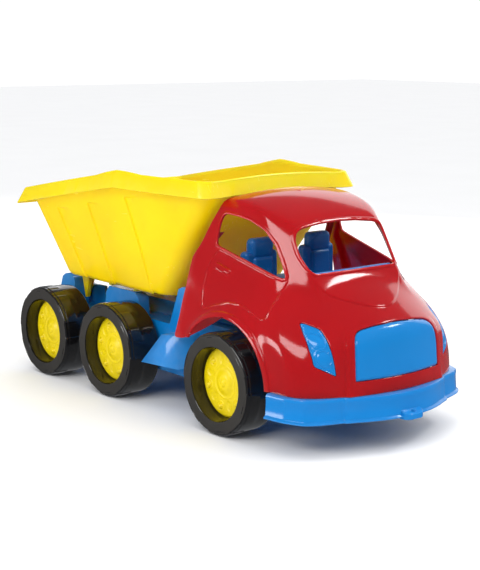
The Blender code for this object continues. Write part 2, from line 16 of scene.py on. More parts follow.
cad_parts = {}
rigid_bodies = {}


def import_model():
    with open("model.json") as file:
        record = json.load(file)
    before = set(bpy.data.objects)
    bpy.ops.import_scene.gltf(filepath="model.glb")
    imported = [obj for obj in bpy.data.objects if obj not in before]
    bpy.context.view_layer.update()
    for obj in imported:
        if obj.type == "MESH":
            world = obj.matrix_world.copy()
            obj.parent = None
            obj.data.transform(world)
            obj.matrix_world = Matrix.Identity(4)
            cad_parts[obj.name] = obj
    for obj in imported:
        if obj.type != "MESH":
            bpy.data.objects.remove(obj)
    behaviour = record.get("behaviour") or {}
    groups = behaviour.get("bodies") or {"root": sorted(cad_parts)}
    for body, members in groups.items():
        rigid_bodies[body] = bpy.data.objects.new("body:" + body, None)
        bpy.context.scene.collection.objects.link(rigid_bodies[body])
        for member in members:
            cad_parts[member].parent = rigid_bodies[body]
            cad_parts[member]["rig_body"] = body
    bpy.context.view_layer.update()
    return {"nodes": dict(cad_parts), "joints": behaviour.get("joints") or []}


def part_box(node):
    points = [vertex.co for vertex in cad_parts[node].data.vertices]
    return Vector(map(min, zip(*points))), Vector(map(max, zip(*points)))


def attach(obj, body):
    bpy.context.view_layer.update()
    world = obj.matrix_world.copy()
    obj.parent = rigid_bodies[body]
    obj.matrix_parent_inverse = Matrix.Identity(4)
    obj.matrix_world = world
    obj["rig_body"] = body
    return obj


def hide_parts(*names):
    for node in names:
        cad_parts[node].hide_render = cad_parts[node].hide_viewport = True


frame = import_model()

MM = 0.001
SIDES = (("right", -1.0), ("left", 1.0))
STATIONS = ("rear", "middle", "front")


def centre_of(node):
    low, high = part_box(node)
    return 0.5 * (low + high) / MM


WHEEL = centre_of("tyre_front_right")
WHEEL_X = WHEEL.x
WHEEL_RADIUS = WHEEL.z
ARCH_RADIUS = WHEEL_RADIUS + 22.0
CAB_WALL = 3.0


# ---------------------------------------------------------------- materials

class Graph:
    """Short notation for building a material's nodes."""

    def __init__(self, name):
        self.material = bpy.data.materials.new(name)
        self.material.use_nodes = True
        self.tree = self.material.node_tree
        self.shader = self.tree.nodes["Principled BSDF"]
        self.place = self.node("TexCoord").outputs["Object"]

    def node(self, kind, **settings):
        made = self.tree.nodes.new("ShaderNode" + kind)
        for key, value in settings.items():
            setattr(made, key, value)
        return made

    def link(self, source, target):
        self.tree.links.new(source, target)

    def noise(self, scale, detail=2.0, stretch=(1.0, 1.0, 1.0), turn=(0.0, 0.0, 0.0)):
        mapping = self.node("Mapping")
        mapping.inputs["Scale"].default_value = stretch
        mapping.inputs["Rotation"].default_value = turn
        self.link(self.place, mapping.inputs["Vector"])
        made = self.node("TexNoise")
        made.inputs["Scale"].default_value = scale
        made.inputs["Detail"].default_value = detail
        self.link(mapping.outputs["Vector"], made.inputs["Vector"])
        return made.outputs["Fac"]

    def remap(self, source, low, high, to_low, to_high):
        made = self.node("MapRange")
        for key, value in (("From Min", low), ("From Max", high), ("To Min", to_low), ("To Max", to_high)):
            made.inputs[key].default_value = value
        self.link(source, made.inputs["Value"])
        return made.outputs["Result"]

    def mix(self, factor, first, second):
        made = self.node("Mix", data_type="RGBA")
        for socket, value in ((made.inputs[6], first), (made.inputs[7], second)):
            if isinstance(value, bpy.types.NodeSocket):
                self.link(value, socket)
            else:
                socket.default_value = (*value, 1.0)
        self.link(factor, made.inputs[0])
        return made.outputs[2]

    def math(self, operation, first, second):
        made = self.node("Math", operation=operation)
        for socket, value in zip(made.inputs, (first, second)):
            if isinstance(value, bpy.types.NodeSocket):
                self.link(value, socket)
            else:
                socket.default_value = value
        return made.outputs[0]

    def bump(self, height, distance, normal=None):
        made = self.node("Bump")
        made.inputs["Strength"].default_value = 1.0
        made.inputs["Distance"].default_value = distance
        self.link(height, made.inputs["Height"])
        if normal is not None:
            self.link(normal, made.inputs["Normal"])
        return made.outputs["Normal"]


def moulded_plastic(
        name, colour, roughness=0.14, coat=0.35, grain=0.000012, ripple=0.00012, tint=0.05, glow=0.0):
    """Injection-moulded plastic: flow clouds, orange peel, hairline scuffs and paler worn edges."""
    graph = Graph(name)
    shader = graph.shader
    darker = tuple(c * (1.0 - tint) for c in colour)
    paler = tuple(min(1.0, c * (1.0 + tint)) for c in colour)
    cloud = graph.remap(graph.noise(7.0, 3.0), 0.35, 0.65, 0.0, 1.0)
    body = graph.mix(cloud, darker, paler)
    fleck = graph.remap(graph.noise(420.0, 1.0), 0.62, 0.8, 0.0, 0.25)
    body = graph.mix(fleck, body, tuple(c * 0.86 for c in colour))
    edge = graph.node("NewGeometry").outputs["Pointiness"]
    wear = graph.math("MULTIPLY", graph.remap(edge, 0.53, 0.62, 0.0, 0.5), graph.noise(60.0, 3.0))
    worn = tuple(0.82 * c + 0.12 for c in colour)
    graph.link(graph.mix(wear, body, worn), shader.inputs["Base Color"])
    hairs = graph.noise(14.0, 4.0, (1.0, 26.0, 9.0), (0.3, 0.2, 0.5))
    scuff = graph.remap(hairs, 0.60, 0.72, 0.0, 0.05)
    dull = graph.remap(graph.noise(18.0, 4.0), 0.3, 0.7, roughness * 0.8, roughness * 1.35)
    graph.link(graph.math("ADD", dull, scuff), shader.inputs["Roughness"])
    swell = graph.bump(graph.noise(22.0, 1.0), ripple)
    graph.link(graph.bump(graph.noise(900.0, 1.0), grain, swell), shader.inputs["Normal"])
    shader.inputs["Coat Weight"].default_value = coat
    shader.inputs["Coat Roughness"].default_value = 0.05
    shader.inputs["IOR"].default_value = 1.46
    shader.inputs["Subsurface Weight"].default_value = glow
    shader.inputs["Subsurface Radius"].default_value = (1.0, 0.6, 0.1)
    shader.inputs["Subsurface Scale"].default_value = 0.012
    return graph.material


def drawn_steel(name):
    """Bright steel rod with fine lines round it and a few dull patches."""
    graph = Graph(name)
    shader = graph.shader
    patch = graph.noise(40.0, 3.0)
    graph.link(graph.mix(patch, (0.42, 0.43, 0.45), (0.62, 0.63, 0.65)), shader.inputs["Base Color"])
    graph.link(graph.remap(patch, 0.3, 0.7, 0.22, 0.4), shader.inputs["Roughness"])
    lines = graph.noise(30.0, 2.0, (4.0, 60.0, 4.0))
    graph.link(graph.bump(lines, 0.00005), shader.inputs["Normal"])
    shader.inputs["Metallic"].default_value = 1.0
    return graph.material


RED = moulded_plastic("red_plastic", (0.385, 0.0014, 0.0042), 0.11, 0.3, glow=0.45)
YELLOW = moulded_plastic("yellow_plastic", (0.88, 0.635, 0.0012), 0.2, 0.12, glow=0.6)
HUB_YELLOW = moulded_plastic("hub_yellow_plastic", (0.86, 0.66, 0.001), 0.3, 0.0)
BLUE = moulded_plastic("blue_plastic", (0.004, 0.205, 0.58), 0.16, 0.2)
SEAT_BLUE = moulded_plastic("seat_blue_plastic", (0.004, 0.15, 0.50), 0.24, 0.1)
TRIM_BLUE = moulded_plastic("trim_blue_plastic", (0.003, 0.205, 0.56), 0.13, 0.3)
BLACK = moulded_plastic("black_plastic", (0.006, 0.0055, 0.006), 0.13, 0.3, tint=0.2)
TYRE_SIDE = moulded_plastic("satin_black_plastic", (0.030, 0.027, 0.024), 0.42, 0.0, tint=0.15)
STEEL = drawn_steel("drawn_steel")


# ---------------------------------------------------------------- objects from meshes

def finish_piece(name, work, material, body, replaced=(), angle=38.0, flat_faced=False):
    """Turn a bmesh in millimetres into a shown piece that rides on a body."""
    bmesh.ops.remove_doubles(work, verts=work.verts, dist=0.002)
    bmesh.ops.recalc_face_normals(work, faces=work.faces)
    mesh = bpy.data.meshes.new(name)
    work.to_mesh(mesh)
    work.free()
    mesh.transform(Matrix.Scale(MM, 4))
    mesh.shade_smooth()
    mesh.set_sharp_from_angle(angle=math.radians(angle))
    mesh.materials.append(material)
    piece = bpy.data.objects.new(name, mesh)
    bpy.context.scene.collection.objects.link(piece)
    if flat_faced:
        weighted = piece.modifiers.new("flat_faces", "WEIGHTED_NORMAL")
        weighted.keep_sharp = True
        weighted.weight = 100
    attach(piece, body)
    if replaced:
        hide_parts(*replaced)
    return piece


def grid_faces(work, points, wrap_rows=False, wrap_columns=False):
    """Quads through a rows x columns array of points; returns the vertices by row."""
    rows = [[work.verts.new(point) for point in row] for row in points]
    row_count, column_count = points.shape[:2]
    for i in range(row_count if wrap_rows else row_count - 1):
        for j in range(column_count if wrap_columns else column_count - 1):
            corners = (
                rows[i][j], rows[i][(j + 1) % column_count],
                rows[(i + 1) % row_count][(j + 1) % column_count], rows[(i + 1) % row_count][j])
            if len(set(corners)) == 4:
                work.faces.new(corners)
    return rows


def positions(work):
    return np.array([vert.co for vert in work.verts])


def split_along(work, measure, *levels):
    """Add edges along the lines where measure, a function of the points, passes each level."""
    for level in levels:
        value = dict(zip(work.verts, measure(positions(work)) - level))
        on_line = {vert for vert, amount in value.items() if abs(amount) < 0.03}
        for edge in list(work.edges):
            first, second = edge.verts
            if first in on_line or second in on_line or value[first] * value[second] >= 0:
                continue
            share = value[first] / (value[first] - value[second])
            on_line.add(bmesh.utils.edge_split(edge, first, share)[1])
        crossed = [face for face in work.faces if any(vert in on_line for vert in face.verts)]
        for face in crossed:
            here = [vert for vert in face.verts if vert in on_line]
            if len(here) == 2 and not any(set(edge.verts) == set(here) for edge in face.edges):
                bmesh.utils.face_split(face, here[0], here[1])


def keep_where(work, measure, keep_inside):
    """Delete the faces on one side of the zero line of a measure."""
    centres = np.array([face.calc_center_median() for face in work.faces])
    inside = measure(centres) < 0
    gone = [face for face, within in zip(work.faces, inside) if within != keep_inside]
    bmesh.ops.delete(work, geom=gone, context="FACES")


def thicken(work, outer, inner, mirrored=True):
    """Closed wall between two sets of positions for an open mesh, mirrored in y where asked."""
    verts = list(work.verts)
    index = {vert: number for number, vert in enumerate(verts)}
    faces = [[index[vert] for vert in face.verts] for face in work.faces]
    edges = [[index[vert] for vert in edge.verts] for edge in work.edges if len(edge.link_faces) == 1]
    solid = bmesh.new()
    for side in ((1.0, -1.0) if mirrored else (1.0,)):
        flip = np.array((1.0, side, 1.0))
        top = [solid.verts.new(point * flip) for point in outer]
        bottom = [solid.verts.new(point * flip) for point in inner]
        for face in faces:
            solid.faces.new([top[number] for number in face])
            solid.faces.new([bottom[number] for number in reversed(face)])
        for a, b in edges:
            on_plane = abs(outer[a][1]) < 1e-4 and abs(outer[b][1]) < 1e-4
            if not (mirrored and on_plane):
                solid.faces.new((top[a], top[b], bottom[b], bottom[a]))
    return solid


def smoothstep(value, low, high):
    share = np.clip((value - low) / (high - low), 0.0, 1.0)
    return share * share * (3.0 - 2.0 * share)


def polygon_distance(points, outline):
    """Distance of 2-D points to a closed outline, negative inside."""
    start = np.array(outline, float)
    end = np.roll(start, -1, axis=0)
    run = end - start
    offset = points[:, None, :] - start
    along = np.clip((offset * run).sum(-1) / (run ** 2).sum(-1), 0.0, 1.0)
    away = np.linalg.norm(offset - along[..., None] * run, axis=-1).min(axis=1)
    across, up = points[:, :1], points[:, 1:]
    spans = (start[:, 1] > up) != (end[:, 1] > up)
    rise = np.where(np.abs(run[:, 1]) < 1e-9, 1e-9, run[:, 1])
    crossed = spans & (across < run[:, 0] * (up - start[:, 1]) / rise + start[:, 0])
    return np.where(crossed.sum(axis=1) % 2 == 1, -away, away)


def rounded(outline, radius, closed=True, steps=5):
    """Outline with each corner replaced by a short curve that starts a radius before it."""
    points = np.array(outline, float)
    count = len(points)
    radii = np.broadcast_to(radius, count)
    made = []
    for index in range(count):
        here = points[index]
        if not closed and index in (0, count - 1):
            made.append(here)
            continue
        before = points[index - 1] - here
        after = points[(index + 1) % count] - here
        reach_before = min(radii[index] / np.linalg.norm(before), 0.48)
        reach_after = min(radii[index] / np.linalg.norm(after), 0.48)
        start, end = here + before * reach_before, here + after * reach_after
        for t in np.linspace(0.0, 1.0, steps):
            made.append((1 - t) ** 2 * start + 2 * t * (1 - t) * here + t * t * end)
    return np.array(made)


def arc(centre, radius, start, end, count):
    angles = np.radians(np.linspace(start, end, count))
    return [(centre[0] + radius * math.cos(a), centre[1] + radius * math.sin(a)) for a in angles]


def mirrored(outline):
    return list(outline) + [(-across, up) for across, up in reversed(outline) if abs(across) > 1e-6]


def resample(points, count):
    points = np.array(points, float)
    run = np.concatenate(([0.0], np.cumsum(np.linalg.norm(np.diff(points, axis=0), axis=1))))
    at = np.linspace(0.0, run[-1], count)
    return np.column_stack([np.interp(at, run, column) for column in points.T])


def edge_round(distance, radius):
    """Height lost next to an opening whose edge is a quarter round."""
    inward = np.clip(radius - distance, 0.0, radius)
    return np.sqrt(np.maximum(radius ** 2 - inward ** 2, 0.0)) - radius


def raised_line(distance, half_width, height):
    return height * 0.5 * (1.0 + np.cos(math.pi * np.clip(distance / half_width, -1.0, 1.0)))


# ---------------------------------------------------------------- cab surface

def soft_max(radius, *fields):
    stack = np.stack(np.broadcast_arrays(*fields))
    top = stack.max(axis=0)
    return top + radius * np.log(np.exp((stack - top) / radius).sum(axis=0))


def soft_min(radius, *fields):
    return -soft_max(radius, *[-field for field in fields])


def nose_field(x, y, z):
    """Front face, bulging forward in the middle, with a slightly proud centre section."""
    lean = 0.055 * (z - 109) + 0.0005 * np.maximum(z - 109, 0) ** 2
    face = x - (387.5 - lean - 0.0016 * y ** 2)
    return soft_min(1.2, soft_max(1.5, face, y - 99), face + 4.0)


def lower_body_field(x, y, z):
    """Bonnet, front corners, doors and the sloping shoulder below the windows."""
    corner = 0.64 * x + 0.77 * y - (338 - 0.0034 * np.maximum(z - 90, 0) ** 2)
    slope = 0.39 + 0.0023 * (x - 105)
    shoulder = (y - (165 - 0.0845 * (x - 105) - slope * (z - 195))) / np.sqrt(1 + slope ** 2)
    bonnet = (z - (243 - 0.57 * (x - 282) - 0.0012 * y ** 2)) / 1.15
    brow = (z - (206 - 0.68 * (x - 343) - 0.0021 * y ** 2)) / 1.2
    top = soft_max(1.2, bonnet, brow)
    return soft_max(6.0, nose_field(x, y, z), corner, y - 168, shoulder, top)


def greenhouse_field(x, y, z):
    """Windscreen, its corner pillars, side windows and roof."""
    windscreen = 0.874 * (x - 280) + 0.485 * (z - 255)
    pillar = 0.615 * (x - 280) + 0.696 * (y - 89) + 0.370 * (z - 255)
    side = (y - (127 - 0.116 * (x - 109) - 0.2 * (z - 314))) / 1.03
    roof = (z - (366 - 0.00254 * np.maximum(x - 120, 0) ** 2 - 0.0008 * y ** 2)) / 1.1
    return soft_max(4.0, soft_max(2.0, windscreen, pillar), side, roof)


def cab_field(x, y, z):
    """Negative inside the cab, zero on its outer surface; y is measured from the centre plane."""
    radius = np.hypot(x - WHEEL_X, z - WHEEL_RADIUS)
    flare = soft_max(3.0, y - (172 - 0.9 * np.abs(radius - ARCH_RADIUS - 1)), radius - 140)
    return soft_min(4.0, lower_body_field(x, y, z), greenhouse_field(x, y, z), flare)


def cab_normal(points):
    """Outward unit normals of the cab's surface, from the slope of its field."""
    step = 0.25
    slopes = []
    for axis in range(3):
        shift = np.zeros(3)
        shift[axis] = step
        ahead, behind = points + shift, points - shift
        slopes.append(
            cab_field(ahead[:, 0], np.abs(ahead[:, 1]), ahead[:, 2])
            - cab_field(behind[:, 0], np.abs(behind[:, 1]), behind[:, 2]))
    normal = np.stack(slopes, axis=1)
    return normal / np.linalg.norm(normal, axis=1, keepdims=True)


CAB_BOTTOM = 88.0


def cab_half_points(rows, columns):
    """Points of the half cab surface, found by walking out from the centre plane."""
    profile = [
        (390, CAB_BOTTOM), (388, 110), (384, 156), (378, 187), (343, 206), (282, 242), (280, 255),
        (240, 327), (215, 348), (190, 357), (152, 364), (123, 366)]
    start = math.degrees(math.asin((CAB_BOTTOM - WHEEL_RADIUS) / ARCH_RADIUS))
    arch = arc((WHEEL_X, WHEEL_RADIUS), ARCH_RADIUS, start, 145.0, 60)
    rear = [
        (66, 133), (48, 132), (58, 172), (65, 212), (67, 262), (78, 282), (90, 316), (108, 350.5)]
    corner = rounded([arch[-1]] + rear, 7.0, closed=False)
    lower = resample(arch[:-1] + [tuple(point) for point in corner], rows)
    upper = resample(profile, rows)
    turn = np.linspace(0.0, math.pi / 2, columns)
    along = np.cos(turn) ** 0.6
    across = 170.0 * np.sin(turn) ** 0.6
    reach_x = (upper - lower)[:, :1] * along
    reach_z = (upper - lower)[:, 1:] * along
    reach_y = np.ones_like(reach_x) * across
    near = np.zeros_like(reach_x)
    far = np.full_like(reach_x, 1.7)
    for _ in range(34):
        middle = 0.5 * (near + far)
        here_x = lower[:, :1] + reach_x * middle
        here_z = lower[:, 1:] + reach_z * middle
        inside = cab_field(here_x, reach_y * middle, here_z) < 0
        near = np.where(inside, middle, near)
        far = np.where(inside, far, middle)
    x = lower[:, :1] + reach_x * near
    z = lower[:, 1:] + reach_z * near
    return np.stack((x, reach_y * near, z), axis=-1)


WINDSCREEN = rounded(mirrored([
    (0, 254.5), (82, 254.5), (89, 260), (94, 281), (93, 303), (87, 315), (75, 319), (38, 323),
    (0, 324.5)]), 6.0)
SIDE_WINDOW = rounded([
    (111, 284), (109, 291), (109, 314), (112, 327), (118, 332), (144, 330), (170, 326), (203, 314),
    (225, 294), (242, 267), (252.5, 247)], 5.0)
GRILLE = mirrored([(0, 109.2), (87, 109.2), (86.5, 150), (83.5, 171), (73, 181.5), (45, 186), (0, 188.6)])
GRILLE = rounded(GRILLE, [2.0 if up < 110 else 10.0 for _, up in GRILLE], steps=7)
HEADLIGHT = rounded([
    (113, 118), (141.5, 134), (141, 157), (138, 177), (134, 191), (130, 191.6), (116.5, 184),
    (117.5, 160)], 3.5)
DOOR = rounded([
    (122, 290), (116.5, 276.5), (107.6, 265), (102, 244), (104, 214), (110, 190), (118.6, 187),
    (140, 196), (167, 203), (192, 203.6), (217, 197), (236, 191), (248, 189), (252, 194),
    (252, 211), (254, 225), (256, 243), (246, 262), (200, 300)], 5.0)
HANDLE = rounded([
    (117.5, 257.5), (116.8, 251.5), (147, 242.5), (148.5, 248.5)], 2.5)


def side_view(points):
    return points[:, (0, 2)]


def front_view(points):
    return points[:, (1, 2)]


def screen_distance(points):
    return polygon_distance(front_view(points), WINDSCREEN) + 400.0 * (points[:, 0] < 200)


def window_distance(points):
    return polygon_distance(side_view(points), SIDE_WINDOW)


def grille_distance(points):
    return polygon_distance(front_view(points), GRILLE) + 400.0 * (points[:, 0] < 340)


def lamp_distance(points):
    return polygon_distance(front_view(points), HEADLIGHT) + 400.0 * (points[:, 0] < 280)


def door_distance(points):
    return polygon_distance(side_view(points), DOOR)


def handle_distance(points):
    return polygon_distance(side_view(points), HANDLE)


def nub_distance(points):
    return np.hypot(points[:, 0] - 152.0, points[:, 1]) + 400.0 * (points[:, 2] < 300)


BONNET_EDGE = [(200, 116), (262, 112), (296, 79), (321, 51), (339, 24), (345.5, 0)]
BONNET_PANEL = rounded([(x, -y) for x, y in BONNET_EDGE[:-1]] + BONNET_EDGE[::-1], 12.0)


def panel_distance(points):
    below = 400.0 * (points[:, 2] < 180)
    return polygon_distance(points[:, :2], BONNET_PANEL) + below


def arch_distance(points):
    radius = np.hypot(points[:, 0] - WHEEL_X, points[:, 2] - WHEEL_RADIUS)
    return radius - ARCH_RADIUS + 60.0 * (points[:, 1] < 120)


def cab_detail(points):
    """Height of the cab's rims, ridges and handle over its plain surface."""
    height = np.zeros(len(points))
    for distance in (screen_distance(points), window_distance(points)):
        height += edge_round(distance, 1.2) + 1.1 * (1.0 - smoothstep(distance, 3.2, 4.8))
    for distance in (grille_distance(points), lamp_distance(points)):
        height += edge_round(distance, 1.4)
    height += raised_line(door_distance(points), 1.6, 0.9)
    height += 1.5 * (1.0 - smoothstep(handle_distance(points), -0.2, 1.4))
    height += raised_line(nub_distance(points), 3.0, 1.2)
    arch = arch_distance(points)
    height += edge_round(arch, 1.4) + 1.3 * (1.0 - smoothstep(arch, 7.0, 9.0))
    towards_screen = smoothstep(points[:, 0], 262.0, 318.0)
    height += 1.7 * towards_screen * (1.0 - smoothstep(panel_distance(points), -1.6, 1.6))
    return height


def open_cab_surface(rows=210, columns=120):
    work = bmesh.new()
    grid_faces(work, cab_half_points(rows, columns))
    return work


FLANGE_OUTER = 150.0
FLANGE_DEPTH = 13.0


def add_cab():
    work = open_cab_surface()
    split_along(work, screen_distance, 0.0, 0.35, 1.2, 3.2, 4.0, 4.8)
    split_along(work, window_distance, 0.0, 0.35, 1.2, 3.2, 4.0, 4.8)
    split_along(work, grille_distance, 0.3, 0.8, 1.7)
    split_along(work, lamp_distance, 0.3, 0.8, 1.7)
    for opening in (screen_distance, window_distance):
        keep_where(work, opening, False)
    for opening in (grille_distance, lamp_distance):
        keep_where(work, lambda points: opening(points) - 0.3, False)
    split_along(work, door_distance, -1.6, -0.8, 0.0, 0.8, 1.6)
    split_along(work, handle_distance, -0.2, 0.6, 1.4)
    split_along(work, nub_distance, 1.0, 2.0, 3.0)
    split_along(work, arch_distance, 0.4, 1.4, 7.0, 8.0, 9.0)
    split_along(work, panel_distance, -1.6, -0.6, 0.6, 1.6)
    points = positions(work)
    normal = cab_normal(points)
    outer = points + normal * cab_detail(points)[:, None]
    inner = points - normal * CAB_WALL
    shell = thicken(work, outer, inner)
    flange = bmesh.new()
    outline = [(47, 135), (50, 135), (75, 266), (101, 301), (97, 301), (71, 266)]
    add_prism(flange, "XZ", outline, FLANGE_OUTER - FLANGE_DEPTH, FLANGE_OUTER)
    add_prism(flange, "XZ", outline, FLANGE_DEPTH - FLANGE_OUTER, -FLANGE_OUTER)
    for vert in flange.verts:
        lean = 0.42 * max(vert.co.z - 240.0, 0.0)
        vert.co.y -= math.copysign(lean, vert.co.y)
        shell.verts.new(vert.co)
        vert.index = len(shell.verts) - 1
    shell.verts.ensure_lookup_table()
    for face in flange.faces:
        shell.faces.new([shell.verts[vert.index] for vert in face.verts])
    flange.free()
    finish_piece("cab_moulding", shell, RED, "truck", ("cab_shell",))
    work.free()


def add_grille():
    """Panel in the nose: a bevelled edge round a plain field."""
    work = open_cab_surface()
    split_along(work, grille_distance, -0.3, -1.2, -3.2, -4.2)
    keep_where(work, lambda points: grille_distance(points) + 0.3, True)
    points = positions(work)
    normal = cab_normal(points)
    depth = -0.3 - grille_distance(points)
    height = -1.6 + 1.8 * smoothstep(depth, 0.9, 3.9) + edge_round(depth, 0.9)
    outer = points + normal * height[:, None]
    inner = points - normal * (CAB_WALL + 1.0)
    finish_piece(
        "grille_moulding", thicken(work, outer, inner), TRIM_BLUE, "truck", ("grille_panel",))
    work.free()


LAMPS = (((128.5, 169.0), 10.5), ((127.5, 144.5), 11.5))


def lamp_ring(number):
    (across, up), radius = LAMPS[number]

    def measure(points):
        return np.hypot((points[:, 1] - across) * 1.15, points[:, 2] - up) - radius
    return measure


def add_headlights():
    """Corner lamp panels with two round lenses embossed in each."""
    work = open_cab_surface()
    split_along(work, lamp_distance, -0.3, -1.2, -2.4)
    keep_where(work, lambda points: lamp_distance(points) + 0.3, True)
    for number in range(len(LAMPS)):
        split_along(work, lamp_ring(number), -3.0, -2.0, -1.0, 0.0, 1.0)
    points = positions(work)
    normal = cab_normal(points)
    depth = -0.3 - lamp_distance(points)
    height = -0.6 - 1.2 * smoothstep(depth, 1.0, 2.2) + edge_round(depth, 0.9)
    for number, (_, radius) in enumerate(LAMPS):
        ring = lamp_ring(number)(points)
        inside = smoothstep(depth, 1.6, 3.2)
        height += inside * raised_line(ring, 1.5, 1.0)
        height += inside * 1.6 * np.sqrt(np.clip(-(ring + 1.5) / radius, 0.0, 1.0))
    outer = points + normal * height[:, None]
    inner = points - normal * (CAB_WALL + 1.5)
    for label, side in SIDES:
        flip = np.array((1.0, side, 1.0))
        finish_piece(
            "headlight_moulding_" + label, thicken(work, outer * flip, inner * flip, False), TRIM_BLUE,
            "truck", ("headlight_" + label,))
    work.free()


# ---------------------------------------------------------------- tipper bed

BED_INNER_FLOOR = 181.0
BED_WALL = 3.0
RIM_PEAK_X = -100.0
RIM_WIDEST_X = -131.0
RIM_HALF_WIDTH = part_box("tipper_bed")[1].y / MM


def rim_height(x):
    behind = max(RIM_PEAK_X - x, 0.0)
    ahead = max(x - RIM_PEAK_X, 0.0)
    return 359.0 - 0.160 * behind - 0.00004 * behind ** 2 - 0.010 * ahead


def rim_half_width(x):
    behind = max(RIM_WIDEST_X - x, 0.0)
    ahead = max(x - RIM_WIDEST_X, 0.0)
    return RIM_HALF_WIDTH - 0.0175 * behind - 0.05 * ahead - 0.00025 * ahead ** 2


def bed_plan(rear, front, half, radius_rear, radius_front):
    """Half plan outline (y > 0) from the rear centre round to the front centre."""
    ends = np.linspace(0.0, 1.0, 26)[:-1]
    points = [(rear, (half - radius_rear) * share) for share in ends]
    points += arc((rear + radius_rear, half - radius_rear), radius_rear, 180, 90, 14)
    points += [(x, half) for x in np.linspace(rear + radius_rear, front - radius_front, 120)[1:-1]]
    points += arc((front - radius_front, half - radius_front), radius_front, 90, 0, 16)
    points += [(front, (half - radius_front) * (1.0 - share)) for share in np.linspace(0.0, 1.0, 26)[1:]]
    return points


def rim_ring(rear, front, inset, rise, ridge, radius_rear, radius_front):
    """Ring that follows the rim's height and width, moved in and up from its lower edge."""
    ring = []
    for x, y in bed_plan(rear, front, RIM_HALF_WIDTH, radius_rear, radius_front):
        width = y / RIM_HALF_WIDTH * (rim_half_width(x) - inset)
        arch = 5.0 * max(0.0, 1.0 - (y / 150.0) ** 2)
        arch *= smoothstep(x, 40.0, 80.0) + 1.0 - smoothstep(x, -376.0, -340.0)
        height = rim_height(x) + rise + ridge * max(0.0, 1.0 - ((x - RIM_PEAK_X) / 60.0) ** 2)
        ring.append((x, width, height + arch))
    return np.array(ring)


def bed_rows():
    """Rows of points on the bed's inner surface, rounded where it bends."""
    def flat(rear, front, half, radius_rear, radius_front, height):
        return np.array([(x, y, height) for x, y in bed_plan(rear, front, half, radius_rear, radius_front)])
    floor = flat(-330, -40, 124, 14, 22, BED_INNER_FLOOR)
    knee = flat(-335, -35, 128, 16, 24, BED_INNER_FLOOR + 4)
    keys = [
        floor, knee,
        rim_ring(-386, 95, 22.5, -3.0, 0.0, 20, 30),
        rim_ring(-396, 100, 17.5, 21.0, 3.0, 15, 24),
        rim_ring(-404, 104, 10.0, 26.6, 3.0, 10, 20), rim_ring(-416, 114.5, 0.3, 0.0, 0.0, 5, 17)]
    radii = [0.0, 5.0, 6.0, 4.0, 4.0, 0.0]
    steps = [1, 30, 6, 2, 7, 1]
    rows = [keys[0]]
    for index in range(1, len(keys)):
        start, end = keys[index - 1], keys[index]
        run = np.linalg.norm(end - start, axis=1, keepdims=True)
        low = np.minimum(radii[index - 1], 0.42 * run) / run
        high = 1.0 - np.minimum(radii[index], 0.42 * run) / run
        for share in np.linspace(0.0, 1.0, max(steps[index], 2)):
            rows.append(start + (end - start) * (low + (high - low) * share))
        if radii[index]:
            after = keys[index + 1]
            ahead = np.linalg.norm(after - end, axis=1, keepdims=True)
            leave = end + (after - end) * np.minimum(radii[index], 0.42 * ahead) / ahead
            enter = rows[-1]
            for t in (0.2, 0.4, 0.6, 0.8):
                rows.append((1 - t) ** 2 * enter + 2 * t * (1 - t) * end + t * t * leave)
    return np.array(rows[1:])


def grid_normals(points):
    """Unit normals of a grid of points, facing away from the bed's inside."""
    along = np.gradient(points, axis=1)
    up = np.gradient(points, axis=0)
    normal = np.cross(up, along)
    normal /= np.maximum(np.linalg.norm(normal, axis=-1, keepdims=True), 1e-9)
    return normal


# rear edge of each side panel: (x, z) where it starts below the rim and where it ends at the floor
PANELS = (
    ((-311.0, 306.0), (-274.0, 182.0)),
    ((-211.0, 323.0), (-185.0, 180.0)),
    ((-99.0, 343.0), (-73.0, 182.0)),
)
PANEL_DEPTH = 2.8
PANEL_RUN = 46.0


def panel_offset(number):
    (top_x, top_z), (foot_x, foot_z) = PANELS[number]

    def measure(points):
        share = (points[:, 2] - foot_z) / (top_z - foot_z)
        ahead = points[:, 0] - (foot_x + (top_x - foot_x) * share)
        return ahead + 900.0 * (points[:, 1] < 105)
    return measure


def panel_top(number):
    (top_x, top_z), _ = PANELS[number]

    def measure(points):
        return points[:, 2] - (top_z + 0.06 * (points[:, 0] - top_x)) - 900.0 * (points[:, 1] < 105)
    return measure


def bed_detail(points):
    """Depth of the louvre-like hollows pressed into the bed's outer walls."""
    height = np.zeros(len(points))
    for number in range(len(PANELS)):
        ahead = panel_offset(number)(points)
        top = panel_top(number)(points)
        ramp = np.clip(1.0 - ahead / PANEL_RUN, 0.0, 1.0)
        height += PANEL_DEPTH * smoothstep(ahead, -0.9, 0.9) * ramp * (1.0 - smoothstep(top, -1.8, 0.0))
    return height


